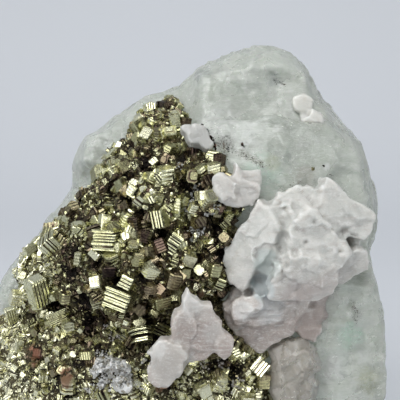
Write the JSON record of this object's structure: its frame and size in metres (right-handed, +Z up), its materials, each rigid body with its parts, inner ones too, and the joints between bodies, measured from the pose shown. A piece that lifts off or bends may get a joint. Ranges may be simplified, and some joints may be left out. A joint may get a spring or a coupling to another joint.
{
  "type": "fluorite with pyrite",
  "caption": "Mineral specimen: a blocky pale green fluorite mass with a crust of striated pyrite crystals and white bladed carbonate, resting on a flat cut foot.",
  "frame": {"origin": "middle of the bounding box at its foot, on the plane that the specimen rests on", "axes": "+X to the viewer's right along the specimen's length, +Y to the back, +Z up; the pyrite crust faces -Y"},
  "size_m": [0.0818, 0.0598, 0.0762],
  "materials": {
    "fluorite": "translucent, etched",
    "pyrite": "metallic, striated",
    "carbonate": "pearly",
    "clear_crystal": "glassy"
  },
  "bodies": {
    "root": {"fluorite": "fluorite", "pyrite_crust": "pyrite", "calcite_cluster": "carbonate", "calcite_wedge_upper": "carbonate", "calcite_fan_middle": "carbonate", "calcite_blades_lower": "carbonate", "calcite_pair_far": "carbonate", "calcite_druse_low": "carbonate", "clear_crystal_low": "clear_crystal"}
  },
  "joints": []
}
